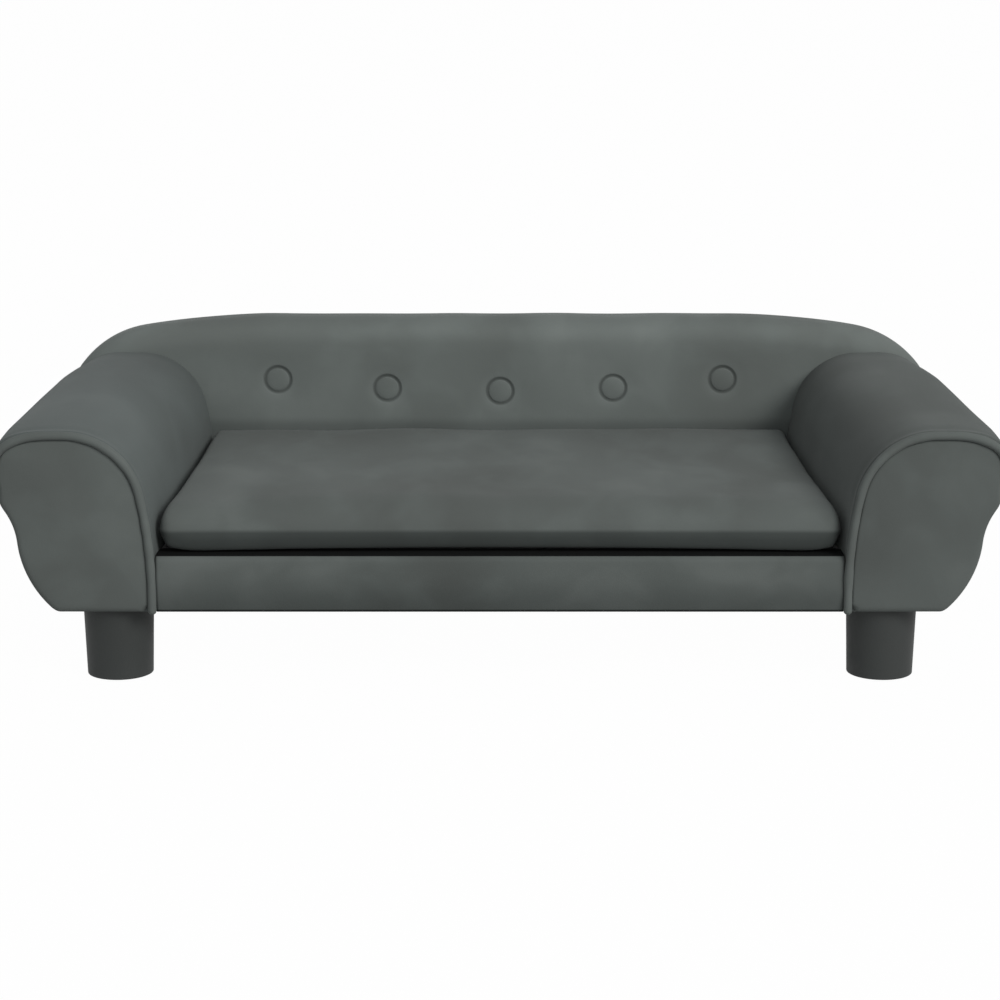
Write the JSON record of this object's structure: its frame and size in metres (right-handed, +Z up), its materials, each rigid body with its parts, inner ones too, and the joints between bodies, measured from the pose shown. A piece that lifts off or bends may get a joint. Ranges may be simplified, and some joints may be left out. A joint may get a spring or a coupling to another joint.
{
  "type": "dog sofa bed",
  "caption": "Low velvet dog sofa with rolled arms, a buttoned back, a loose flat seat cushion and round legs.",
  "frame": {"origin": "on the floor under the middle of the sofa", "axes": "+X across the seat to the right arm seen from the front, +Y from front to back, +Z up"},
  "size_m": [1, 0.5, 0.3],
  "materials": {
    "velvet": "matte",
    "lining": "matte",
    "dust_cloth": "matte",
    "foam": "matte",
    "card": "matte",
    "plywood": "matte",
    "leg_plastic": "satin",
    "felt": "matte",
    "zinc_steel": "satin",
    "twine": "matte",
    "anchor_plastic": "matte",
    "zip_cloth": "matte",
    "zip_plastic": "satin",
    "zip_metal": "satin"
  },
  "bodies": {
    "sofa": {"front_rail": "plywood", "rear_rail": "plywood", "front_ledger": "plywood", "centre_brace": "plywood", "deck_board": "plywood", "back_board": "plywood", "back_lower_rail": "plywood", "right_side_rail": "plywood", "right_arm_base_board": "plywood", "right_arm_front_panel": "plywood", "right_arm_rear_panel": "plywood", "right_arm_top_rail": "plywood", "right_arm_inner_board": "plywood", "right_back_post": "plywood", "left_side_rail": "plywood", "left_arm_base_board": "plywood", "left_arm_front_panel": "plywood", "left_arm_rear_panel": "plywood", "left_arm_top_rail": "plywood", "left_arm_inner_board": "plywood", "left_back_post": "plywood", "back_foam": "foam", "front_rail_foam": "foam", "deck_foam": "foam", "right_arm_foam": "foam", "left_arm_foam": "foam", "right_arm_liner": "card", "left_arm_liner": "card", "front_rail_cover": "velvet", "inside_back_cover": "velvet", "outside_back_panel": "velvet", "right_arm_cover": "velvet", "left_arm_cover": "velvet", "right_arm_facing": "velvet", "left_arm_facing": "velvet", "right_arm_piping": "velvet", "left_arm_piping": "velvet", "back_button_1": "velvet", "back_button_2": "velvet", "back_button_3": "velvet", "back_button_4": "velvet", "back_button_5": "velvet", "deck_cover": "lining", "dust_cover": "dust_cloth", "button_ties": "twine", "button_anchors": "anchor_plastic", "front_right_leg": "leg_plastic", "front_left_leg": "leg_plastic", "rear_right_leg": "leg_plastic", "rear_left_leg": "leg_plastic", "foot_pads": "felt", "frame_bolts": "zinc_steel", "leg_bolts": "zinc_steel", "leg_t_nuts": "zinc_steel"},
    "cushion": {"cushion_cover": "velvet", "cushion_core": "foam", "zip_tape": "zip_cloth", "zip_chain": "zip_plastic"},
    "zip_runner": {"zip_slider": "zip_metal", "zip_pull": "zip_metal"}
  },
  "joints": [
    {"name": "cushion_lift", "type": "slide", "parent": "sofa", "child": "cushion", "axis": [0, 0, 1], "range_m": [0, 0.19]},
    {"name": "zip_slide", "type": "slide", "parent": "cushion", "child": "zip_runner", "axis": [1, 0, 0], "range_m": [-0.53, 0]}
  ]
}
